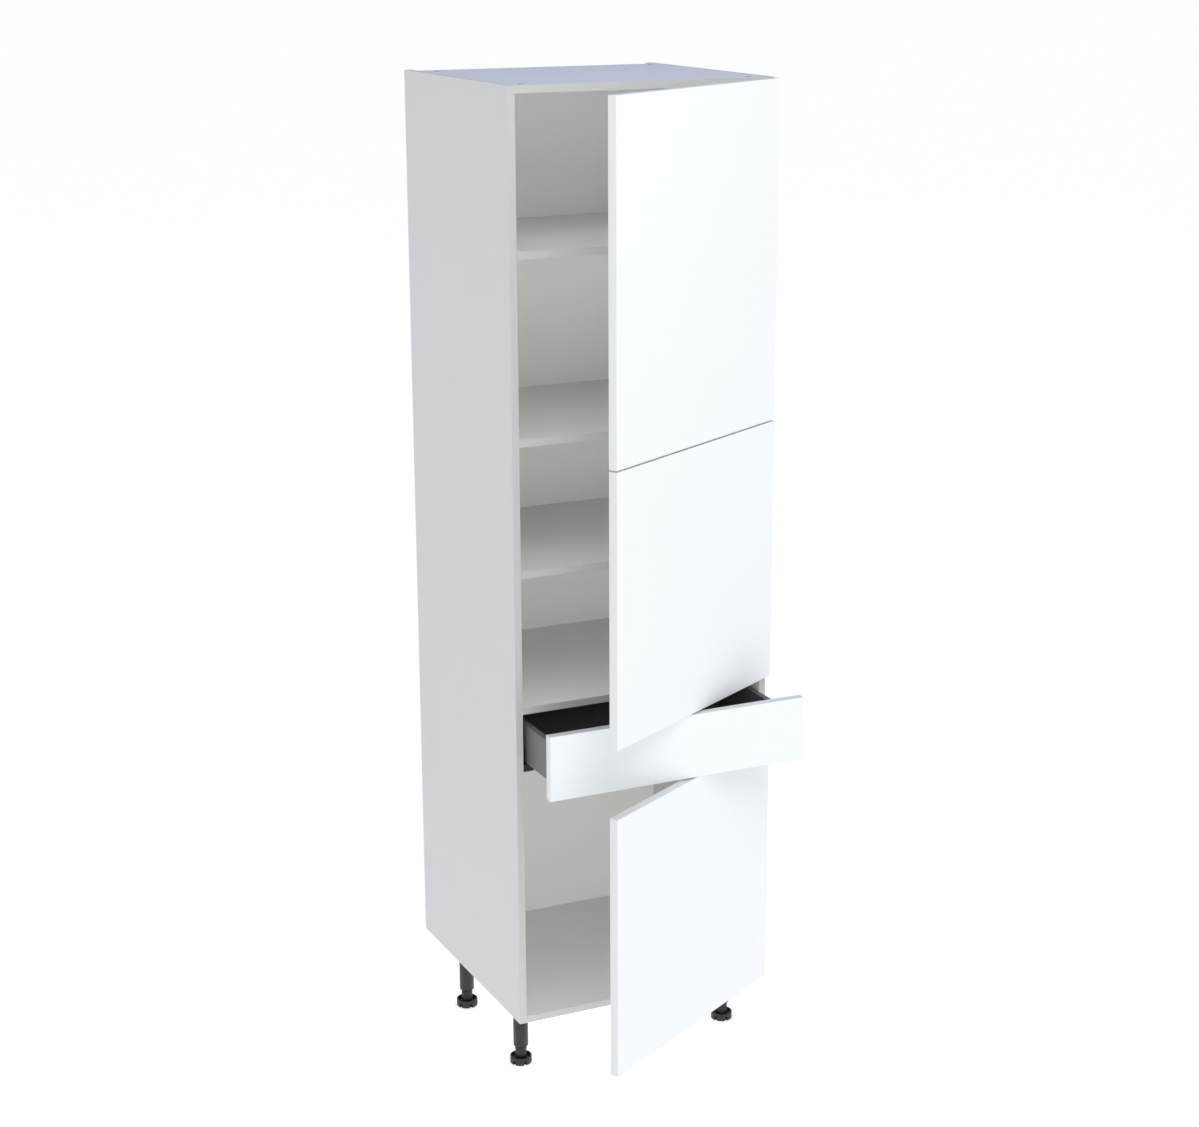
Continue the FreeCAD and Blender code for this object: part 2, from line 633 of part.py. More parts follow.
def hinge_hardware():
    """Arms, mounting plates and their screws, all on the right side panel."""
    levels = all_hinge_levels()
    arm = hinge_arm()
    sub_part("hinge_arms", copies("hinge_arm_copy", arm, [(PIN_X, PIN_Y, z) for z in levels]))
    foot_width, foot_reach, rail_length, rail_half, rail_from_front = 14, 24, 44, 3.8, 20
    rail_start = rail_from_front - s.system_inset
    wing = box("plate_wing", (s.plate_foot, foot_width, foot_reach * 2),
               (-s.plate_foot, -foot_width / 2, -foot_reach))
    sole = box("plate_sole", (s.plate_foot, rail_length, rail_half * 4),
               (-s.plate_foot, rail_start, -rail_half * 2))
    rail = box("plate_rail", (s.rail_height, rail_length, rail_half * 2),
               (-s.rail_height, rail_start, -rail_half))
    blank = fuse("plate_blank", [wing, sole, rail])
    arm_screw_y = PIN_Y + ARM_SCREW_ROW - FRONT - s.system_inset
    holes = [rod("plate_hole", SCREW_RADIUS, s.plate_foot, (-s.plate_foot, 0, PLATE_REACH * i), X_AXIS)
             for i in SIDES]
    arm_screw_length = 9
    holes.append(rod("plate_tapping", ARM_SCREW_RADIUS, arm_screw_length - s.arm_thickness,
                     (-s.rail_height, arm_screw_y, 0), X_AXIS))
    plate = cut("hinge_plate", blank, holes)
    sub_part("hinge_plates", copies("hinge_plate_copy", plate,
                                    [(INNER, FRONT + s.system_inset, z) for z in levels]))
    screw_spots = [(x - s.plate_foot, y, z) for x, y, z in hinge_plate_screw_spots()]
    sub_part("hinge_plate_screws", copies("plate_screw", wood_screw, screw_spots, Y_AXIS, 90))
    head_height, head_radius = 2.5, 4
    screw = turned("arm_screw", [
        (0, -head_height), (head_radius, -head_height), (head_radius, 0), (ARM_SCREW_RADIUS, 0),
        (ARM_SCREW_RADIUS, arm_screw_length), (0, arm_screw_length)])
    sub_part("hinge_arm_screws", copies("arm_screw_copy", screw,
                                        [(INNER - s.rail_height - s.arm_thickness, PIN_Y + ARM_SCREW_ROW, z)
                                         for z in levels], Y_AXIS, 90))


# ---------------------------------------------------------------- drawer and runners

RUNNER_SCREW_ROWS = (FRONT + s.system_inset, FRONT + s.system_inset + s.system_pitch * 7,
                     FRONT + s.system_inset + s.system_pitch * 13)
RUNNER_SCREW_LEVEL = 612
BASE_SCREW_ROWS = (40, 240, 440)
FLANGE_WIDTH = 13
RUNNER_WIDTH = 24
RUNNER_HEIGHT = 15.4
RUNNER_WALL = 1.5


def runner_sections():
    """Cross-sections from the side's inner face inwards (first) and above the carcass base."""
    fin_in, fin_out, fin_height, web_height = 13, 16, 56, 48
    wall = RUNNER_WALL
    foot = s.runner_foot
    deck = foot + RUNNER_HEIGHT
    cabinet = [[
        (0, foot), (RUNNER_WIDTH, foot), (RUNNER_WIDTH, deck), (fin_out, deck),
        (fin_out, foot + fin_height), (fin_in, foot + fin_height), (fin_in, deck), (wall, deck),
        (wall, foot + web_height), (0, foot + web_height)],
        [(wall, foot + wall), (RUNNER_WIDTH - wall, foot + wall), (RUNNER_WIDTH - wall, deck - wall),
         (wall, deck - wall)]]
    hem = foot + 22
    clear, roof_clear = 0.7, 1
    sheet_metal = 1.3
    nested = []
    for layer in (0, 1):
        gap = clear * (layer + 1) + sheet_metal * layer
        left, right = fin_in - gap, fin_out + gap
        roof = foot + fin_height + roof_clear + layer * sheet_metal * 2
        nested.append([[
            (left - sheet_metal, hem), (left, hem), (left, roof), (right, roof), (right, hem),
            (right + sheet_metal, hem), (right + sheet_metal, roof + sheet_metal),
            (left - sheet_metal, roof + sheet_metal)]])
    return cabinet, nested[0], nested[1]


def mirrored_pair(name, master):
    """A profile on the left and its mirror image on the right."""
    mirror = doc.addObject("Part::Mirroring", f"{name}_mirror")
    mirror.Source = master
    mirror.Normal = X_AXIS
    return mirror


def profile(name, rings, length, front):
    """A section pushed backwards from a front level, standing on the left side panel."""
    body = pressed(name, "XZ_Plane", rings, length)
    return place(body, (-INNER, front + length, 0))


def both_sides(name, left):
    return [left, mirrored_pair(name, left)]


def runners():
    cabinet, middle, member = runner_sections()
    cap_thickness, plug_length = 3, 8
    start = FRONT + cap_thickness
    web_holes = [rod("runner_web_hole", SCREW_RADIUS, RUNNER_WALL,
                     (-INNER, row, RUNNER_SCREW_LEVEL), X_AXIS) for row in RUNNER_SCREW_ROWS]
    rail = cut("cabinet_rail", profile("cabinet_rail_profile", cabinet, s.runner_length, start), web_holes)
    sub_part("runner_cabinet_members", both_sides("cabinet_rail", rail))
    cap = fuse("runner_cap", [
        box("runner_cap_face", (RUNNER_WIDTH, cap_thickness, RUNNER_HEIGHT),
            (-INNER, FRONT, s.runner_foot)),
        box("runner_cap_plug",
            (RUNNER_WIDTH - RUNNER_WALL * 2, plug_length, RUNNER_HEIGHT - RUNNER_WALL * 2),
            (-INNER + RUNNER_WALL, start, s.runner_foot + RUNNER_WALL))])
    sub_part("runner_end_caps", both_sides("runner_cap", cap))
    screws = []
    for side in SIDES:
        spots = [((INNER - RUNNER_WALL) * side, row, RUNNER_SCREW_LEVEL) for row in RUNNER_SCREW_ROWS]
        screws += copies("runner_screw", wood_screw, spots, Y_AXIS, 90 * side)
    sub_part("runner_screws", screws)
    slide = profile("middle_rail_profile", middle, s.runner_length - 5, start + 2)
    sub_part("runner_middle_members", both_sides("middle_rail", slide), pull=s.drawer_open / 2)
    carrier = profile("drawer_rail_profile", member, s.drawer_length - 10, DOOR_BACK + 8)
    sub_part("runner_drawer_members", both_sides("drawer_rail", carrier), pull=s.drawer_open)


def drawer_side():
    """A folded steel side: two walls, closed over the top, with a flange under the bottom board."""
    outer, inner = s.drawer_gap, s.drawer_gap + s.drawer_wall
    foot, roof = s.drawer_side_foot, s.drawer_side_top
    flange_top = s.bottom_level
    ring = [
        (outer, foot), (outer + s.metal, foot), (outer + s.metal, roof - s.metal),
        (inner - s.metal, roof - s.metal), (inner - s.metal, flange_top - s.metal),
        (inner + FLANGE_WIDTH, flange_top - s.metal), (inner + FLANGE_WIDTH, flange_top),
        (inner, flange_top), (inner, roof), (outer, roof)]
    blank = profile("drawer_side_profile", [ring], s.drawer_length, DOOR_BACK)
    screw_x = -INNER + inner + FLANGE_WIDTH / 2
    holes = [rod("drawer_flange_hole", SCREW_RADIUS, s.metal,
                 (screw_x, DOOR_BACK + row, flange_top - s.metal)) for row in BASE_SCREW_ROWS]
    return cut("drawer_side", blank, holes)


def drawer():
    pull = s.drawer_open
    low, height = door_span(4, 5)
    inner = INNER - s.drawer_gap - s.drawer_wall
    base_screws = [((inner - FLANGE_WIDTH / 2) * side, DOOR_BACK + row)
                   for side in SIDES for row in BASE_SCREW_ROWS]
    bracket_screw_reach, bracket_levels = 16, (636, 664)
    bracket_x = inner - bracket_screw_reach
    front_pilots = [rod("drawer_front_pilot", SCREW_RADIUS, PILOT_LENGTH,
                        (bracket_x * side, DOOR_BACK - PILOT_LENGTH, z), Y_AXIS)
                    for side in SIDES for z in bracket_levels]
    board, strips = banded_front("drawer_front", low, height, front_pilots)
    sub_part("drawer_front_panel", board, pull=pull)
    sub_part("drawer_front_edge_bands", strips, pull=pull)
    left = drawer_side()
    sub_part("drawer_left_side", left, pull=pull)
    sub_part("drawer_right_side", mirrored_pair("drawer_side", left), pull=pull)
    bottom_blank = box("drawer_bottom_blank", (inner * 2, s.drawer_length, s.board),
                       (-inner, DOOR_BACK, s.bottom_level))
    pilots = [rod("drawer_bottom_pilot", SCREW_RADIUS, PILOT_LENGTH, (x, y, s.bottom_level))
              for x, y in base_screws]
    sub_part("drawer_bottom", cut("drawer_bottom_board", bottom_blank, pilots), pull=pull)
    floor = s.bottom_level + s.board
    sub_part("drawer_back", box("drawer_back_board",
                                (inner * 2, s.board, s.drawer_back_top - floor),
                                (-inner, DOOR_BACK + s.drawer_length - s.board, floor)), pull=pull)
    bracket_height, bracket_width, bracket_length, plate = 58, 24, 40, 2
    bracket_foot = floor + 1
    ring = [(0, 0), (bracket_width, 0), (bracket_width, plate), (plate, plate),
            (plate, bracket_length), (0, bracket_length)]
    angle = pressed("bracket_angle", "XY_Plane", [ring], bracket_height)
    holes = [rod("bracket_hole", SCREW_RADIUS, plate, (bracket_screw_reach, 0, z - bracket_foot), Y_AXIS)
             for z in bracket_levels]
    bracket = place(cut("front_bracket", angle, holes), (-inner, DOOR_BACK, bracket_foot))
    sub_part("drawer_front_brackets", both_sides("front_bracket", bracket), pull=pull)
    sub_part("drawer_front_screws",
             copies("drawer_front_screw", wood_screw,
                    [(bracket_x * side, DOOR_BACK + plate, z) for side in SIDES for z in bracket_levels],
                    X_AXIS, 90), pull=pull)
    sub_part("drawer_base_screws",
             copies("drawer_base_screw", wood_screw,
                    [(x, y, s.bottom_level - s.metal) for x, y in base_screws]), pull=pull)


# ---------------------------------------------------------------- assembly

def screw():
    """A pan-head wood screw whose head sits under its origin and whose shank points up."""
    chamfer = 0.8
    return turned("wood_screw", [
        (0, -SCREW_HEAD_HEIGHT), (SCREW_HEAD - chamfer, -SCREW_HEAD_HEIGHT), (SCREW_HEAD, -chamfer),
        (SCREW_HEAD, 0), (SCREW_RADIUS, 0), (SCREW_RADIUS, PILOT_LENGTH - 1), (0, PILOT_LENGTH)])


wood_screw = screw()
foot_master = foot()
hinge_cup_master = hinge_cup()

side_panel("left_side_panel", -1)
side_panel("right_side_panel", 1)
for board_label, board_level, cam_face in fixed_boards():
    fixed_board(board_label, board_level, cam_face)
back_panel()
adjustable_shelf("upper_adjustable_shelf", s.high_shelf)
adjustable_shelf("lower_adjustable_shelf", s.low_shelf)
shelf_pins()
edge_bands()
carcass_fittings()
legs()
for door_name, first_step, last_step in DOORS:
    door(door_name, first_step, last_step)
hinge_hardware()
runners()
drawer()

doc.recompute()
for thing in doc.Objects:
    if "Invalid" in thing.State or "Error" in thing.State:
        raise RuntimeError(f"{thing.Name} failed: {thing.State}")
os.makedirs("parts", exist_ok=True)
for node in sub_parts:
    if node.Shape.isNull() or not node.Shape.isValid():
        raise RuntimeError(f"{node.Label} has no valid shape")
    node.Shape.exportStep(f"parts/{node.Label}.step")
    print(f"{node.Label}: {len(node.Shape.Solids)} solids, {node.Shape.Volume / 1000:.1f} cm3")
print(len(sub_parts), "nodes")
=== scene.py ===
"""Looks for the tall pantry cabinet: finishes, soft edges, small fittings, light and camera.

Metres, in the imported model's frame: +X is the hinge side, -Y the front, +Z up, and the
origin is the middle of the carcass's underside. The doors rest part open and the drawer part
pulled out, so pieces on a door are made as if it were shut and then swung to rest.
"""
import json
import math

import bmesh
import bpy
from mathutils import Matrix, Vector


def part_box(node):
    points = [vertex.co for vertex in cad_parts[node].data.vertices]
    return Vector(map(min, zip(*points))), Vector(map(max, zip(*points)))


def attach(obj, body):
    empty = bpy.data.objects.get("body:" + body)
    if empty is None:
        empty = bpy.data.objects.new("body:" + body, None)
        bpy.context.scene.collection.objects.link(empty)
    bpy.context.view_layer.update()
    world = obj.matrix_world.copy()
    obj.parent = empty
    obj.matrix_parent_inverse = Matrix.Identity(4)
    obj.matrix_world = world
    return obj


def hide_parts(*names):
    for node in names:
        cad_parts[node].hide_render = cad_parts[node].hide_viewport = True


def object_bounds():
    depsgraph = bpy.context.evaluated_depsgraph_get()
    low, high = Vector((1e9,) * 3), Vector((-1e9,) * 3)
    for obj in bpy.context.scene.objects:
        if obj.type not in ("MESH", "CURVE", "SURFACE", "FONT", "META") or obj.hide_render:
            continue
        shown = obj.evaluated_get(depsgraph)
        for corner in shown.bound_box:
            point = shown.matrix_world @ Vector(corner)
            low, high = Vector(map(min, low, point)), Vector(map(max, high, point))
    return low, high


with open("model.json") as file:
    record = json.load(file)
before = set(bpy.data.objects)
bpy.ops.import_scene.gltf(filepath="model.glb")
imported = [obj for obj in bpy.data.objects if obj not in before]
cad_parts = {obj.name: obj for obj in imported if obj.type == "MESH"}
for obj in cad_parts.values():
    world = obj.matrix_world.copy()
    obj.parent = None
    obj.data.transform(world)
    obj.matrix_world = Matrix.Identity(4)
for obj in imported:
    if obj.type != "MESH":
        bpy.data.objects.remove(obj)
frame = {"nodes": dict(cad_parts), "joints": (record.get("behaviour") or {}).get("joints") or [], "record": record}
cad_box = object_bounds()
nodes = frame["nodes"]
scene = bpy.context.scene

MM = 0.001
FLOOR_LEVEL = cad_box[0].z
DOORS = ("upper", "middle", "lower")
FEET = ("front_left_foot", "front_right_foot", "back_left_foot", "back_right_foot")
INNER_BOARDS = (
    "left_side_panel", "right_side_panel", "back_panel", "bottom_panel", "top_panel",
    "drawer_cover_shelf", "middle_fixed_shelf", "upper_adjustable_shelf", "lower_adjustable_shelf",
)
X_FACES, Y_FACES, Z_FACES = (1, 0, 0), (0, 1, 0), (0, 0, 1)


def swing_of(door):
    """The turn that takes a shut door to where it rests, about its hinge line."""
    joint = next(j for j in frame["joints"] if j["name"] == f"{door}_door_swing")
    hinge_line = Matrix.Translation(joint["pos_m"])
    opened = Matrix.Rotation(math.radians(-joint["range_deg"][0]), 4, joint["axis"])
    return hinge_line @ opened @ hinge_line.inverted()


SWING = {door: swing_of(door) for door in DOORS}
STILL = Matrix()


# ---------------------------------------------------------------- shader building blocks

class Shade:
    """Adds nodes to one tree; an input is either another node's socket or a plain value."""

    def __init__(self, tree):
        self.tree = tree

    def add(self, kind, inputs=None, **settings):
        node = self.tree.nodes.new(f"ShaderNode{kind}")
        for key, value in settings.items():
            setattr(node, key, value)
        for socket, value in (inputs or {}).items():
            self.feed(node.inputs[socket], value)
        return node

    def feed(self, socket, value):
        if isinstance(value, bpy.types.NodeSocket):
            self.tree.links.new(value, socket)
        else:
            socket.default_value = value

    def maths(self, operation, *values, clamp=False):
        node = self.add("Math", dict(enumerate(values)), operation=operation, use_clamp=clamp)
        return node.outputs[0]

    def vector(self, operation, *values):
        node = self.add("VectorMath", dict(enumerate(values)), operation=operation)
        return node.outputs["Value" if operation == "DOT_PRODUCT" else "Vector"]

    def scaled(self, vector, by):
        """A vector or a colour, multiplied by one value."""
        node = self.add("VectorMath", {0: vector, "Scale": by}, operation="SCALE")
        return node.outputs["Vector"]

    def blend(self, factor, first, second):
        """The first colour where the factor is 0, the second where it is 1."""
        node = self.add("Mix", {0: factor, 6: first, 7: second}, data_type="RGBA")
        return node.outputs[2]

    def spread(self, value, low, high, to_low=0.0, to_high=1.0):
        """Maps a range of values onto another, with both ends held."""
        node = self.add("MapRange", {"Value": value, "From Min": low, "From Max": high,
                                     "To Min": to_low, "To Max": to_high})
        return node.outputs["Result"]

    def spot(self):
        """A place on the piece, in metres, which moves with the piece."""
        return self.add("TexCoord").outputs["Object"]

    def noise(self, where, scale, detail=3.0, roughness=0.55):
        node = self.add("TexNoise", {"Vector": where, "Scale": scale, "Detail": detail,
                                     "Roughness": roughness})
        return node.outputs["Fac"]

    def placed(self, tree, inputs):
        """One of the shared groups, with this material's own values."""
        node = self.add("Group", node_tree=tree)
        for name, value in inputs.items():
            self.feed(node.inputs[name], value)
        return node.outputs


KINDS = {"colour": "NodeSocketColor", "value": "NodeSocketFloat", "vector": "NodeSocketVector"}


def shader_group(name, takes, gives):
    """An empty shared group with named sockets: the group, its builder, its inputs and outputs."""
    tree = bpy.data.node_groups.new(name, "ShaderNodeTree")
    for sockets, way in ((takes, "INPUT"), (gives, "OUTPUT")):
        for socket, kind in sockets.items():
            tree.interface.new_socket(socket, in_out=way, socket_type=KINDS[kind])
    source = tree.nodes.new("NodeGroupInput")
    sink = tree.nodes.new("NodeGroupOutput")
    return tree, Shade(tree), source.outputs, sink.inputs


def make_tone_drift():
    """A slow, barely visible change of tone over a large surface."""
    tree, make, given, out = shader_group(
        "tone_drift", {"Colour": "colour", "Amount": "value", "Scale": "value"},
        {"Colour": "colour"})
    cloud = make.noise(make.spot(), given["Scale"], 2.0)
    swing = make.maths("MULTIPLY", make.maths("SUBTRACT", cloud, 0.5), given["Amount"])
    level = make.maths("ADD", 1.0, make.maths("MULTIPLY", swing, 2.0))
    make.feed(out["Colour"], make.scaled(given["Colour"], level))
    return tree


def make_fine_grain():
    """The small pebbled relief of a pressed, sprayed or moulded surface."""
    tree, make, given, out = shader_group(
        "fine_grain", {"Scale": "value", "Sharpness": "value"}, {"Height": "value"})
    where = make.spot()
    coarse = make.noise(where, given["Scale"], 2.0, 0.5)
    fine = make.noise(where, make.maths("MULTIPLY", given["Scale"], 3.1), 2.0, 0.6)
    height = make.maths("ADD", coarse, make.maths("MULTIPLY", fine, given["Sharpness"]))
    make.feed(out["Height"], height)
    return tree


def make_hand_marks():
    """Patches where handling and wiping have left a surface a little duller or glossier."""
    tree, make, given, out = shader_group(
        "hand_marks", {"Roughness": "value", "Spread": "value"}, {"Roughness": "value"})
    where = make.spot()
    patches = make.spread(make.noise(where, 7.0, 4.0, 0.6), 0.4, 0.68)
    wipes = make.noise(make.vector("MULTIPLY", where, (70.0, 70.0, 9.0)), 1.0, 2.0, 0.5)
    marks = make.maths("MULTIPLY", patches, make.spread(wipes, 0.35, 0.75))
    change = make.maths("MULTIPLY", make.maths("SUBTRACT", marks, 0.3), given["Spread"])
    make.feed(out["Roughness"], make.maths("ADD", given["Roughness"], change, clamp=True))
    return tree


def make_arris_wear_and_highlight():
    """A mask that is 1 on the arrises, both for rub wear and for a painted highlight."""
    tree, make, given, out = shader_group(
        "arris_wear_and_highlight", {"Width": "value", "Break up": "value"}, {"Mask": "value"})
    rounded = make.add("Bevel", {"Radius": given["Width"]}, samples=4).outputs["Normal"]
    flat = make.add("NewGeometry").outputs["Normal"]
    turn = make.maths("SUBTRACT", 1.0, make.vector("DOT_PRODUCT", rounded, flat))
    patchy = make.spread(make.noise(make.spot(), 140.0, 3.0), 0.35, 0.65)
    keep = make.maths("SUBTRACT", 1.0, make.maths("MULTIPLY", patchy, given["Break up"]))
    sharp = make.spread(turn, 0.02, 0.2)
    make.feed(out["Mask"], make.maths("MULTIPLY", sharp, keep, clamp=True))
    return tree


def make_chipboard():
    """Pressed wood chips, as they show on an edge or in a bore that has no strip over it."""
    tree, make, given, out = shader_group(
        "chipboard", {"Scale": "value"}, {"Colour": "colour", "Height": "value"})
    where = make.spot()
    wander = make.add("TexNoise", {"Vector": where, "Scale": 300.0}).outputs["Color"]
    bent = make.vector("ADD", where, make.scaled(wander, 1.2 * MM))
    chips = make.add("TexVoronoi", {"Vector": bent, "Scale": given["Scale"]})
    pick = make.add("SeparateColor", {"Color": chips.outputs["Color"]}).outputs[0]
    wood = make.blend(pick, (0.50, 0.36, 0.21, 1), (0.76, 0.62, 0.43, 1))
    dark = make.spread(make.noise(where, 420.0, 3.0), 0.62, 0.74)
    make.feed(out["Colour"], make.blend(dark, wood, (0.20, 0.13, 0.08, 1)))
    make.feed(out["Height"], make.maths("SUBTRACT", 1.0, chips.outputs["Distance"]))
    return tree


def make_board_faces():
    """1 on a board's coated faces and its sealed end, 0 on its other ends and in its bores."""
    tree, make, given, out = shader_group(
        "board_faces", {"Across": "vector", "Sealed end": "vector"}, {"Mask": "value"})
    normal = make.add("TexCoord").outputs["Normal"]
    facing = make.maths("ABSOLUTE", make.vector("DOT_PRODUCT", normal, given["Across"]))
    sealed = make.vector("DOT_PRODUCT", normal, given["Sealed end"])
    make.feed(out["Mask"], make.spread(make.maths("MAXIMUM", facing, sealed), 0.45, 0.55))
    return tree


def make_drawn_lines():
    """Fine parallel lines left by rolling, extruding or brushing along one direction."""
    tree, make, given, out = shader_group(
        "drawn_lines", {"Stretch": "vector", "Contrast": "value"},
        {"Height": "value", "Tone": "value"})
    where = make.vector("MULTIPLY", make.spot(), given["Stretch"])
    lines = make.noise(where, 1.0, 4.0, 0.65)
    make.feed(out["Height"], lines)
    centred = make.maths("MULTIPLY", make.maths("SUBTRACT", lines, 0.5), given["Contrast"])
    make.feed(out["Tone"], make.maths("ADD", centred, 1.0))
    return tree


TONE_DRIFT = make_tone_drift()
FINE_GRAIN = make_fine_grain()
HAND_MARKS = make_hand_marks()
ARRIS_WEAR_AND_HIGHLIGHT = make_arris_wear_and_highlight()
CHIPBOARD = make_chipboard()
BOARD_FACES = make_board_faces()
DRAWN_LINES = make_drawn_lines()


# ---------------------------------------------------------------- finishes

def srgb(red, green, blue):
    """A colour as it looks on a screen, 0 to 255, as the light values that shaders take."""
    def linear(c):
        c /= 255
        return c / 12.92 if c <= 0.04045 else ((c + 0.055) / 1.055) ** 2.4
    return (linear(red), linear(green), linear(blue), 1.0)


WHITE, BLACK = (1, 1, 1, 1), (0, 0, 0, 1)
# A pale steel tone for plated arrises: bare steel showing through, and a painted highlight.
STEEL_AND_HIGHLIGHT_TONE = (0.9, 0.9, 0.9, 1)


def new_material(name, metallic=0.0, coat=0.0):
    """A material with one Principled shader; returns it, its builder and the shader's inputs."""
    material = bpy.data.materials.new(name)
    material.use_nodes = True
    shader = material.node_tree.nodes["Principled BSDF"].inputs
    shader["Metallic"].default_value = metallic
    shader["Coat Weight"].default_value = coat
    return material, Shade(material.node_tree), shader


def relief(make, shader, height, depth):
    """Makes the surface look raised by a height between 0 and 1, times a depth in metres."""
    bump = make.add("Bump", {"Height": height, "Distance": depth, "Strength": 1.0})
    make.feed(shader["Normal"], bump.outputs["Normal"])


def coated_board(name, colour, across, sealed=(0, 0, 0), roughness=0.42, grain=850.0,
                 depth=0.05 * MM):
    """Melamine or foil pressed on chipboard, with bare chipboard in its bores and rear ends."""
    material, make, shader = new_material(name)
    faces = make.placed(BOARD_FACES, {"Across": across, "Sealed end": sealed})["Mask"]
    tone = make.placed(TONE_DRIFT, {"Colour": colour, "Amount": 0.012, "Scale": 2.2})["Colour"]
    chips = make.placed(CHIPBOARD, {"Scale": 420.0})
    pebbles = make.placed(FINE_GRAIN, {"Scale": grain, "Sharpness": 0.35})["Height"]
    handled = make.placed(HAND_MARKS, {"Roughness": roughness, "Spread": 0.10})["Roughness"]
    make.feed(shader["Base Color"], make.blend(faces, chips["Colour"], tone))
    make.feed(shader["Roughness"], make.spread(faces, 0.0, 1.0, 0.9, handled))
    rough_ends = make.maths("MULTIPLY", make.maths("SUBTRACT", 1.0, faces), chips["Height"])
    coated = make.maths("MULTIPLY", pebbles, faces)
    height = make.maths("ADD", coated, make.maths("MULTIPLY", rough_ends, 6.0))
    relief(make, shader, height, depth)
    return material


def edge_strip(name, colour, stretch, roughness=0.34):
    """A thin plastic strip, extruded along its length, its arrises trimmed by scraping after gluing and whitened
    further by a painted highlight.
    """
    material, make, shader = new_material(name)
    lines = make.placed(DRAWN_LINES, {"Stretch": stretch, "Contrast": 0.03})
    rub_and_highlight = make.placed(ARRIS_WEAR_AND_HIGHLIGHT, {"Width": 0.8 * MM, "Break up": 0.4})["Mask"]
    toned = make.scaled(colour[:3], lines["Tone"])
    # Arrises blended a little towards white: scrape marks and a painted highlight.
    scrape_and_highlight = make.maths("MULTIPLY", rub_and_highlight, 0.35)
    make.feed(shader["Base Color"], make.blend(scrape_and_highlight, toned, WHITE))
    make.feed(shader["Roughness"], make.spread(rub_and_highlight, 0.0, 1.0, roughness, roughness + 0.15))
    relief(make, shader, lines["Height"], 0.02 * MM)
    return material


def moulded_plastic(name, colour, rub_and_highlight_colour, roughness, grain):
    """Injection-moulded plastic with a spark-eroded skin, paler on its arrises from rub wear and a painted
    highlight.
    """
    material, make, shader = new_material(name)
    skin = make.placed(FINE_GRAIN, {"Scale": grain, "Sharpness": 0.6})["Height"]
    drift = make.placed(TONE_DRIFT, {"Colour": colour, "Amount": 0.12, "Scale": 30.0})["Colour"]
    rub_and_highlight = make.placed(ARRIS_WEAR_AND_HIGHLIGHT, {"Width": 0.9 * MM, "Break up": 0.7})["Mask"]
    handled = make.placed(HAND_MARKS, {"Roughness": roughness, "Spread": 0.2})["Roughness"]
    # Arrises blended towards a paler colour: rub wear and a painted highlight.
    wear_and_highlight = make.maths("MULTIPLY", rub_and_highlight, 0.5)
    make.feed(shader["Base Color"], make.blend(wear_and_highlight, drift, rub_and_highlight_colour))
    make.feed(shader["Roughness"], handled)
    relief(make, shader, skin, 0.08 * MM)
    return material


def powder_coat(name, colour, rub_and_highlight_colour, roughness):
    """Sprayed and baked coat on steel, with an orange-peel skin and fine darker specks."""
    material, make, shader = new_material(name)
    peel = make.placed(FINE_GRAIN, {"Scale": 650.0, "Sharpness": 0.25})["Height"]
    drift = make.placed(TONE_DRIFT, {"Colour": colour, "Amount": 0.05, "Scale": 12.0})["Colour"]
    specks = make.spread(make.noise(make.spot(), 2600.0, 1.0), 0.62, 0.72)
    speckled = make.blend(make.maths("MULTIPLY", specks, 0.25), drift, BLACK)
    rub_and_highlight = make.placed(ARRIS_WEAR_AND_HIGHLIGHT, {"Width": 0.6 * MM, "Break up": 0.6})["Mask"]
    handled = make.placed(HAND_MARKS, {"Roughness": roughness, "Spread": 0.15})["Roughness"]
    # Arrises blended towards a paler colour: rub wear and a painted highlight.
    wear_and_highlight = make.maths("MULTIPLY", rub_and_highlight, 0.6)
    make.feed(shader["Base Color"], make.blend(wear_and_highlight, speckled, rub_and_highlight_colour))
    make.feed(shader["Roughness"], handled)
    relief(make, shader, peel, 0.06 * MM)
    return material


def plated_metal(name, colour, tarnish, stretch, roughness):
    """Nickel or zinc plate over pressed steel: drawing lines, cloudy plating, and arrises where the plating wears
    through, brightened as well by a painted highlight.
    """
    material, make, shader = new_material(name, metallic=1.0)
    lines = make.placed(DRAWN_LINES, {"Stretch": stretch, "Contrast": 0.12})
    cloud = make.spread(make.noise(make.spot(), 90.0, 4.0), 0.4, 0.75)
    plated = make.blend(make.maths("MULTIPLY", cloud, 0.6), colour, tarnish)
    toned = make.scaled(plated, lines["Tone"])
    rub_and_highlight = make.placed(ARRIS_WEAR_AND_HIGHLIGHT, {"Width": 0.5 * MM, "Break up": 0.5})["Mask"]
    # Arrises blended towards pale steel: wear through the plating and a painted highlight.
    wear_and_highlight = make.maths("MULTIPLY", rub_and_highlight, 0.4)
    make.feed(shader["Base Color"], make.blend(wear_and_highlight, toned, STEEL_AND_HIGHLIGHT_TONE))
    make.feed(shader["Roughness"], make.spread(cloud, 0.0, 1.0, roughness, roughness + 0.14))
    relief(make, shader, lines["Height"], 0.03 * MM)
    return material


def raw_beech():
    """Turned beech dowel: long pores and short darker flecks along X."""
    material, make, shader = new_material("raw_beech")
    where = make.spot()
    pores = make.noise(make.vector("MULTIPLY", where, (120.0, 2200.0, 2200.0)), 1.0, 3.0)
    short_lines = make.noise(make.vector("MULTIPLY", where, (500.0, 1600.0, 1600.0)), 1.0, 2.0)
    flecks = make.maths("MULTIPLY", make.spread(short_lines, 0.6, 0.7), 0.5)
    wood = make.blend(pores, srgb(214, 180, 132), srgb(186, 146, 98))
    make.feed(shader["Base Color"], make.blend(flecks, wood, srgb(150, 108, 66)))
    shader["Roughness"].default_value = 0.75
    relief(make, shader, pores, 0.1 * MM)
    return material


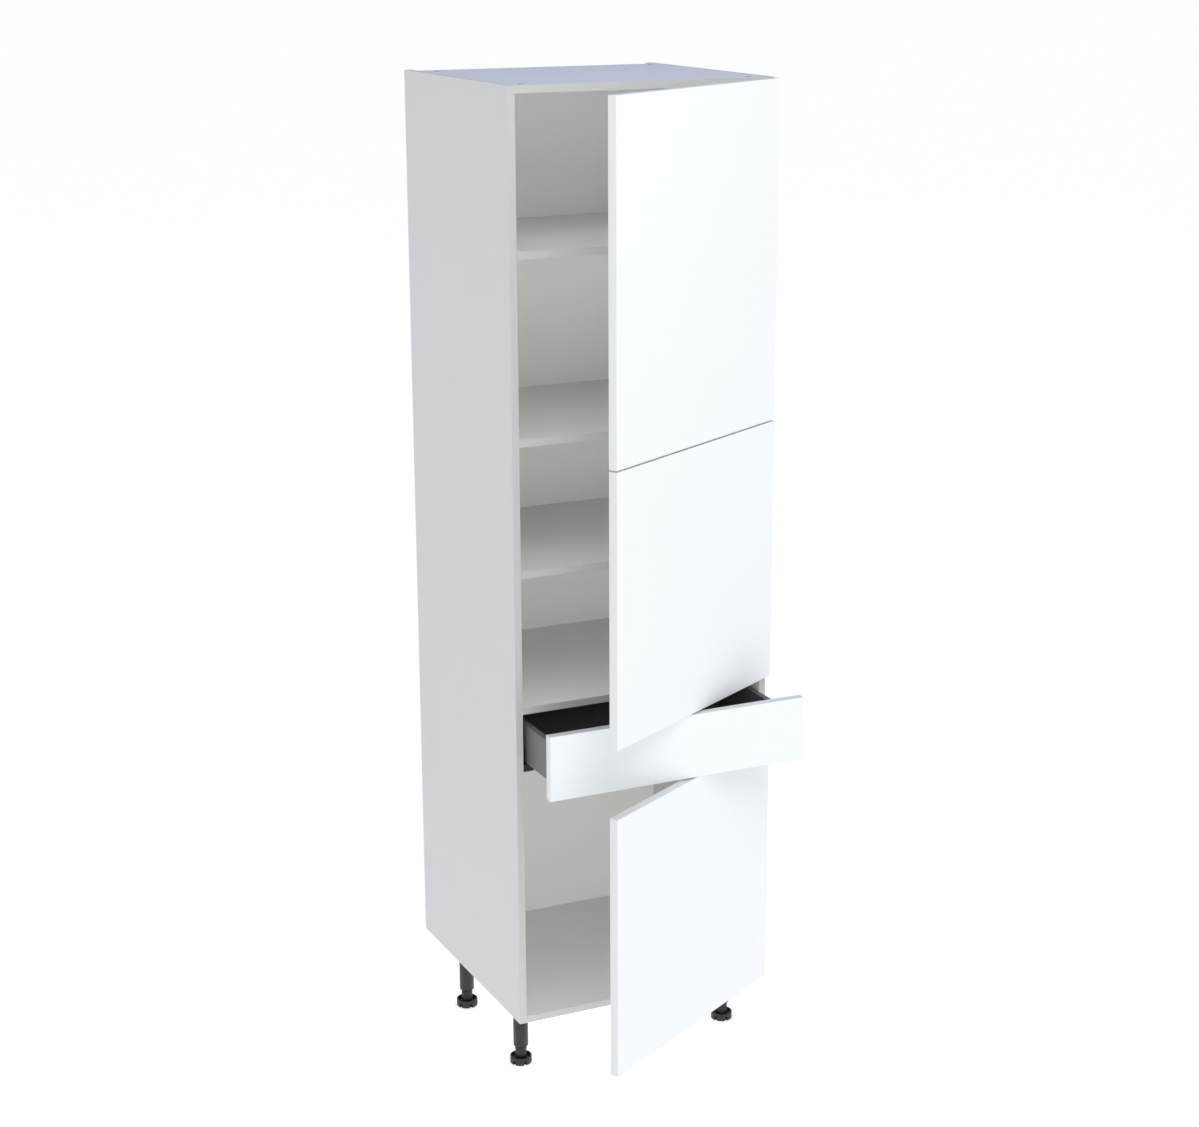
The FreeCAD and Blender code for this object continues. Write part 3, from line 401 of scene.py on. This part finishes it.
def clear_bumper():
    """A soft clear dome, slightly cloudy with fine dust on its crown."""
    material, make, shader = new_material("clear_bumper", coat=0.4)
    dust = make.spread(make.noise(make.spot(), 1800.0, 3.0), 0.5, 0.75)
    make.feed(shader["Base Color"], make.blend(dust, srgb(226, 229, 231), srgb(196, 197, 196)))
    make.feed(shader["Roughness"], make.spread(dust, 0.0, 1.0, 0.18, 0.5))
    shader["Transmission Weight"].default_value = 0.35
    relief(make, shader, dust, 0.02 * MM)
    return material


CARCASS_WHITE = srgb(218, 217, 214)
FRONT_WHITE = srgb(246, 249, 250)
DRAWER_GREY = srgb(90, 90, 98)
DOOR_FACES = tuple(SWING["upper"].to_3x3() @ Vector(Y_FACES))
FOIL = {"roughness": 0.36, "grain": 520.0, "depth": 0.03 * MM}
FINISHES = {
    "carcass_board": coated_board("carcass_melamine_shelves", CARCASS_WHITE, Z_FACES),
    "back_board": coated_board("carcass_melamine_back", CARCASS_WHITE, Y_FACES, Z_FACES, 0.48),
    "carcass_edge": edge_strip("carcass_edge_strip", srgb(211, 210, 207), (6.0, 300.0, 300.0)),
    "shelf_pin_metal": plated_metal(
        "nickel_shelf_pin", srgb(205, 203, 198), srgb(170, 168, 160), (40.0, 900.0, 900.0), 0.25),
    "cam_zinc": plated_metal(
        "cast_zinc", srgb(150, 152, 158), srgb(112, 114, 120), (500.0, 500.0, 500.0), 0.45),
    "zinc_screw": plated_metal(
        "zinc_plated_screw", srgb(200, 202, 208), srgb(168, 168, 150), (700.0, 700.0, 90.0), 0.28),
    "dowel_beech": raw_beech(),
    "leg_plastic": moulded_plastic(
        "leg_plastic", srgb(38, 38, 36), srgb(70, 70, 67), 0.5, 1100.0),
    "front_board": coated_board("front_foil_drawer", FRONT_WHITE, Y_FACES, **FOIL),
    "front_edge": edge_strip("front_edge_strip", srgb(233, 235, 234), (300.0, 300.0, 6.0), 0.3),
    "hinge_nickel": plated_metal(
        "nickel_hinge", srgb(208, 206, 201), srgb(178, 175, 168), (900.0, 60.0, 900.0), 0.24),
    "bumper_rubber": clear_bumper(),
    "runner_steel": powder_coat("black_runner_coat", srgb(22, 22, 23), srgb(52, 52, 54), 0.42),
    "runner_plastic": moulded_plastic(
        "black_runner_cap", srgb(30, 30, 31), srgb(60, 60, 60), 0.45, 1200.0),
    "drawer_side_steel": powder_coat(
        "graphite_drawer_side", srgb(104, 104, 106), srgb(135, 135, 137), 0.45),
    "drawer_board": coated_board("dark_drawer_melamine", DRAWER_GREY, Z_FACES, roughness=0.5),
}
SIDE_BOARD = coated_board("carcass_melamine_sides", CARCASS_WHITE, X_FACES, Z_FACES)
DOOR_BOARD = coated_board("front_foil_doors", FRONT_WHITE, DOOR_FACES, **FOIL)
OWN_FINISH = {
    "left_side_panel": SIDE_BOARD,
    "right_side_panel": SIDE_BOARD,
    # The top board is a bluish copy of the carcass white: painted cool sky light from above. The whole board takes
    # it, its underside too.
    "top_panel": coated_board("carcass_melamine_top_painted_sky_light", srgb(224, 229, 238), Z_FACES),
    "drawer_back": coated_board(
        "dark_drawer_melamine_back", DRAWER_GREY, Y_FACES, Z_FACES, 0.5),
    **{f"{door}_door_panel": DOOR_BOARD for door in DOORS},
}
SLOTS = {part["node"]: part["material_slot"] for part in frame["record"]["subparts"]}


def finish_frame_nodes():
    """Gives every node of the frame its own finish, or that of its material."""
    for name, node in nodes.items():
        node.data.materials.clear()
        node.data.materials.append(OWN_FINISH.get(name, FINISHES[SLOTS[name]]))


# ---------------------------------------------------------------- soft edges on the frame's nodes

JOIN_DISTANCE = 0.001 * MM
SOFT_EDGES = {
    "side_edge_bands": 0.4, "panel_edge_bands": 0.4, "shelf_edge_bands": 0.4,
    "leg_tubes": 0.5, "leg_plates": 0.5, **{foot: 0.6 for foot in FEET},
    "hinge_arms": 0.3, "hinge_plates": 0.4, "runner_end_caps": 0.5,
    "drawer_left_side": 0.4, "drawer_right_side": 0.4, "drawer_front_brackets": 0.4,
}


def soften(name, width):
    """Rounds a node's sharp edges, by a width in millimetres, without touching its mesh."""
    node = nodes[name]
    weld = node.modifiers.new("joined_corners", "WELD")
    weld.merge_threshold = JOIN_DISTANCE
    bevel = node.modifiers.new("soft_edges", "BEVEL")
    bevel.width = width * MM
    bevel.segments = 3
    bevel.limit_method = "ANGLE"
    bevel.angle_limit = math.radians(40)
    bevel.use_clamp_overlap = True
    bevel.harden_normals = True


# ---------------------------------------------------------------- measuring the frame's nodes

def extent(corners):
    """The lowest and the highest corner of the box round some points."""
    low = Vector([min(c[i] for c in corners) for i in range(3)])
    high = Vector([max(c[i] for c in corners) for i in range(3)])
    return low, high


def shut_box(name, swing):
    """Lowest and highest corners of a node with its door shut."""
    shut = swing.inverted()
    return extent([shut @ v.co for v in nodes[name].data.vertices])


def linked_corners(first, left):
    """The corners joined to this one by edges, itself included; they are taken out of left."""
    left.discard(first)
    stack, corners = [first], []
    while stack:
        vertex = stack.pop()
        corners.append(vertex.co.copy())
        for edge in vertex.link_edges:
            other = edge.other_vert(vertex)
            if other in left:
                left.discard(other)
                stack.append(other)
    return corners


def solids_of(name, swing=STILL):
    """The corners of each separate solid in a node, with its door shut."""
    mesh = bmesh.new()
    mesh.from_mesh(nodes[name].data)
    mesh.transform(swing.inverted())
    bmesh.ops.remove_doubles(mesh, verts=mesh.verts, dist=JOIN_DISTANCE)
    left = set(mesh.verts)
    found = [linked_corners(first, left) for first in mesh.verts if first in left]
    mesh.free()
    return found


def turned_to(way):
    """The turn that takes +Z to another direction."""
    return way.to_track_quat("Z", "Y").to_matrix().to_4x4()


# ---------------------------------------------------------------- pieces made here

def add_piece(name, mesh, body, replaced, material, swing=STILL):
    """Turns a bmesh into a named piece on a body, in place of a node of the frame."""
    mesh.transform(swing)
    data = bpy.data.meshes.new(name)
    mesh.to_mesh(data)
    mesh.free()
    data.shade_smooth()
    data.set_sharp_from_angle(angle=math.radians(38))
    data.materials.append(material)
    piece = bpy.data.objects.new(name, data)
    scene.collection.objects.link(piece)
    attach(piece, body)
    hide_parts(replaced)


def add_block(mesh, low, high, axis, end, radius):
    """A block whose edges round one side, the low or high end of an axis, are rolled over."""
    place = Matrix.Translation((low + high) / 2) @ Matrix.Diagonal((*(high - low), 1))
    corners = bmesh.ops.create_cube(mesh, size=1, matrix=place)["verts"]
    level = high[axis] if end > 0 else low[axis]
    outer = [v for v in corners if abs(v.co[axis] - level) < 0.01 * MM]
    edges = {e for v in outer for e in v.link_edges if e.other_vert(v) in outer}
    bmesh.ops.bevel(mesh, geom=list(edges), offset=radius, segments=4, profile=0.5, affect="EDGES")


def edge_strips(front, body, swing):
    """Four strips round a front, with rolled outer arrises, over the panel's cut edges."""
    low, high = shut_box(f"{front}_edge_bands", swing)
    panel_low, panel_high = shut_box(f"{front}_panel", swing)
    radius = (panel_low.x - low.x) * 0.85
    mesh = bmesh.new()
    for end, start, stop in ((-1, low.x, panel_low.x), (1, panel_high.x, high.x)):
        add_block(mesh, Vector((start, low.y, low.z)), Vector((stop, high.y, high.z)),
                  0, end, radius)
    for end, start, stop in ((-1, low.z, panel_low.z), (1, panel_high.z, high.z)):
        add_block(mesh, Vector((panel_low.x, low.y, start)), Vector((panel_high.x, high.y, stop)),
                  2, end, radius)
    add_piece(f"{front}_edge_strips", mesh, body, f"{front}_edge_bands",
              FINISHES["front_edge"], swing)


def add_turned(mesh, profile, place, segments):
    """Skins rings of corners at (radius, height) points, closed below; returns the top ring."""
    rings = []
    for radius, height in profile:
        ring = []
        for i in range(segments):
            angle = math.tau * i / segments
            spot = Vector((radius * math.cos(angle), radius * math.sin(angle), height))
            ring.append(mesh.verts.new(place @ spot))
        rings.append(ring)
    for below, above in zip(rings, rings[1:]):
        for i in range(segments):
            j = (i + 1) % segments
            mesh.faces.new((below[i], below[j], above[j], above[i]))
    mesh.faces.new(list(reversed(rings[0])))
    return rings[-1]


def shoulder(rim, crown, base, rise, steps):
    """(radius, height) points of a quarter round, from a rim at its base up to a crown."""
    turns = [math.pi / 2 * i / steps for i in range(steps + 1)]
    return [(crown + (rim - crown) * math.cos(turn), base + rise * math.sin(turn))
            for turn in turns]


def cross_outline(arm, half, level):
    """The twelve corners of a cross, counter-clockwise."""
    corners = []
    for quarter in range(4):
        turn = Matrix.Rotation(math.pi / 2 * quarter, 4, "Z")
        for x, y in ((arm, -half), (arm, half), (half, half)):
            corners.append(turn @ Vector((x, y, level)))
    return corners


def screw_thread(shank_radius, length):
    """(radius, height) points of a wood screw's threads, from under the head to above the tip."""
    pitch, level, tip = 1.4 * MM, -1.5 * MM, 2 * MM
    points = []
    while level - pitch > -length + tip:
        points += [(shank_radius * 0.78, level), (shank_radius, level - pitch / 2)]
        level -= pitch
    return [(0.15 * MM, -length), (shank_radius * 0.6, -length + tip), *reversed(points)]


def add_recess(mesh, place, top, crown, head_height):
    """Fills the crown of a screw's head with a face that has a sunk cross in it."""
    arm, half, depth = crown * 0.82, crown * 0.19, head_height * 0.75
    upper = cross_outline(arm, half, head_height)
    lower = cross_outline(arm * 0.55, half * 0.8, head_height - depth)
    rim = [mesh.verts.new(place @ corner) for corner in upper]
    sunk = [mesh.verts.new(place @ corner) for corner in lower]
    edges = [mesh.edges.new((rim[i - 1], rim[i])) for i in range(len(rim))]
    edges += [mesh.edges.get((top[i - 1], top[i])) for i in range(len(top))]
    bmesh.ops.triangle_fill(mesh, edges=edges, use_beauty=True)
    for i in range(len(rim)):
        mesh.faces.new((rim[i - 1], rim[i], sunk[i], sunk[i - 1]))
    mesh.faces.new(sunk)


def add_screw(mesh, place, head_radius, head_height, shank_radius, length):
    """A pan-head screw with a cross recess, head underside at z = 0, shank down to -length."""
    crown, skirt = head_radius * 0.68, head_height * 0.35
    profile = [*screw_thread(shank_radius, length), (shank_radius * 0.85, 0), (head_radius, 0),
               *shoulder(head_radius, crown, skirt, head_height - skirt, 4)]
    top = add_turned(mesh, profile, place, 24)
    add_recess(mesh, place, top, crown, head_height)


def screw_spot(corners):
    """Where a plain screw's head seats, the way its head faces, and its four sizes."""
    low, high = extent(corners)
    size, middle = high - low, (low + high) / 2
    axis = max(range(3), key=lambda i: size[i])

    def reach(corner):
        return math.hypot(*[corner[i] - middle[i] for i in range(3) if i != axis])

    head_radius = max(reach(c) for c in corners)
    wide = [c[axis] for c in corners if reach(c) > head_radius * 0.97]
    at_high = high[axis] - max(wide) < min(wide) - low[axis]
    outward = Vector([1.0 if i == axis else 0.0 for i in range(3)]) * (1 if at_high else -1)
    seat = middle.copy()
    seat[axis] = min(wide) if at_high else max(wide)
    top = high[axis] if at_high else low[axis]
    shank = [reach(c) for c in corners if (c[axis] - seat[axis]) * outward[axis] < -0.1 * MM]
    head_height = abs(top - seat[axis])
    return seat, outward, (head_radius, head_height, max(shank), size[axis] - head_height)


def screw_set(node, body, swing=STILL):
    """Detailed screws where a node of the frame has plain ones, each turned a little further."""
    mesh = bmesh.new()
    for i, corners in enumerate(solids_of(node, swing)):
        seat, outward, sizes = screw_spot(corners)
        spin = Matrix.Rotation(math.radians(37 * i), 4, "Z")
        add_screw(mesh, Matrix.Translation(seat) @ turned_to(outward) @ spin, *sizes)
    bmesh.ops.recalc_face_normals(mesh, faces=mesh.faces)
    add_piece(f"{node}_with_recess", mesh, body, node, FINISHES["zinc_screw"], swing)


def bumper_set(door):
    """Two soft domes on the inner face of a door's free edge."""
    swing = SWING[door]
    mesh = bmesh.new()
    for corners in solids_of(f"{door}_door_bumpers", swing):
        low, high = extent(corners)
        radius, height = (high.x - low.x) / 2, high.y - low.y
        skirt = height * 0.25
        foot = Vector(((low.x + high.x) / 2, low.y, (low.z + high.z) / 2))
        dome = [(radius, 0), *shoulder(radius, 0, skirt, height - skirt, 8)[:-1]]
        top = add_turned(mesh, dome, Matrix.Translation(foot) @ turned_to(Vector(Y_FACES)), 28)
        mesh.faces.new(top)
    add_piece(f"{door}_door_bumper_domes", mesh, f"{door}_door", f"{door}_door_bumpers",
              FINISHES["bumper_rubber"], swing)


def make_pieces():
    """Every piece that stands in for a plainer node of the frame, on that node's body."""
    for door in DOORS:
        edge_strips(f"{door}_door", f"{door}_door", SWING[door])
        screw_set(f"{door}_cup_screws", f"{door}_door", SWING[door])
        bumper_set(door)
    edge_strips("drawer_front", "drawer", STILL)
    for node in ("leg_plate_screws", "hinge_plate_screws", "hinge_arm_screws", "runner_screws"):
        screw_set(node, "carcass")
    for node in ("drawer_front_screws", "drawer_base_screws"):
        screw_set(node, "drawer")


# ---------------------------------------------------------------- floor, light and camera

def make_floor():
    """A wide white studio floor that glows a little, so that it stays white round the legs."""
    half_width = 100
    mesh = bmesh.new()
    bmesh.ops.create_grid(mesh, x_segments=1, y_segments=1, size=half_width,
                          matrix=Matrix.Translation((0, 0, FLOOR_LEVEL)))
    data = bpy.data.meshes.new("studio_floor")
    mesh.to_mesh(data)
    mesh.free()
    floor = bpy.data.objects.new("studio_floor", data)
    scene.collection.objects.link(floor)
    material, make, shader = new_material("studio_floor")
    tone = make.placed(TONE_DRIFT, {"Colour": (0.95, 0.95, 0.95, 1), "Amount": 0.004, "Scale": 0.6})
    make.feed(shader["Base Color"], tone["Colour"])
    shader["Roughness"].default_value = 0.95
    shader["Specular IOR Level"].default_value = 0.1
    shader["Emission Color"].default_value = WHITE
    shader["Emission Strength"].default_value = 0.56
    data.materials.append(material)


def make_surroundings():
    """A soft white room: cooler overhead and behind, plain white where it is looked at."""
    world = bpy.data.worlds.new("studio_room")
    scene.world = world
    world.use_nodes = True
    make = Shade(world.node_tree)
    way = make.add("TexCoord").outputs["Generated"]
    axes = make.add("SeparateXYZ", {0: way}).outputs
    overhead = make.spread(axes["Z"], 0.0, 0.9)
    behind = make.spread(axes["Y"], 0.5, 0.95)
    room = make.blend(overhead, (0.80, 0.80, 0.80, 1), (0.30, 0.32, 0.38, 1))
    room = make.blend(behind, room, (0.50, 0.60, 0.80, 1))
    seen = make.add("LightPath").outputs["Is Camera Ray"]
    back = world.node_tree.nodes["Background"].inputs
    make.feed(back["Color"], make.blend(seen, room, WHITE))
    back["Strength"].default_value = 1.0


def make_panel_light(name, placing, width, height, glow):
    """A soft light that shines along its own -Z; glow is its brightness, whatever its size."""
    data = bpy.data.lights.new(name, "AREA")
    data.shape = "RECTANGLE"
    data.size = width
    data.size_y = height
    data.energy = glow * math.pi * width * height
    light = bpy.data.objects.new(name, data)
    light.matrix_world = placing
    light.visible_camera = False
    light.visible_glossy = False
    scene.collection.objects.link(light)
    return light


def make_inner_fills():
    """Fill on the boards inside: one light in the open front, one straight ahead past the doors."""
    boards = bpy.data.collections.new("inner_boards")
    for name in INNER_BOARDS:
        boards.objects.link(nodes[name])
    left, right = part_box("left_side_panel"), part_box("right_side_panel")
    width, height = right[0].x - left[1].x, left[1].z
    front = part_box("side_edge_bands")[0].y
    facing_in = Matrix.Rotation(math.radians(90), 4, "X")
    for name, distance, glow in (("near_fill", 0.0, 0.4), ("far_fill", 2.5, 8.5)):
        placing = Matrix.Translation((0, front - distance, height / 2)) @ facing_in
        light = make_panel_light(name, placing, width, height, glow)
        light.light_linking.receiver_collection = boards
        light.light_linking.blocker_collection = boards


def make_overhead_key():
    """A large soft light high in front, aimed at the middle of the doors."""
    side, glow = 3.0, 3.05
    centre, aim = Vector((-0.3, -3.9, 4.9)), Vector((0.0, -0.3, 1.0))
    placing = Matrix.Translation(centre) @ turned_to(centre - aim)
    make_panel_light("overhead_key", placing, side, side, glow)


def make_camera():
    """A long lens left of the cabinet and above it, looking slightly down."""
    azimuth, drop, roll = math.radians(25.58), math.radians(15.42), math.radians(-0.11)
    data = bpy.data.cameras.new("camera")
    data.sensor_width = 36
    data.lens = 70.55
    data.shift_x = -0.0142
    data.shift_y = 0.0042
    data.clip_end = 400
    camera = bpy.data.objects.new("camera", data)
    turn = (Matrix.Rotation(-azimuth, 4, "Z") @ Matrix.Rotation(math.pi / 2 - drop, 4, "X")
            @ Matrix.Rotation(roll, 4, "Z"))
    camera.matrix_world = Matrix.Translation((-2.1330, -4.6066, 2.3275)) @ turn
    scene.collection.objects.link(camera)
    scene.camera = camera


finish_frame_nodes()
for node_name, edge_width in SOFT_EDGES.items():
    soften(node_name, edge_width)
make_pieces()
make_floor()
make_surroundings()
make_inner_fills()
make_overhead_key()
make_camera()
scene.view_settings.view_transform = "Standard"
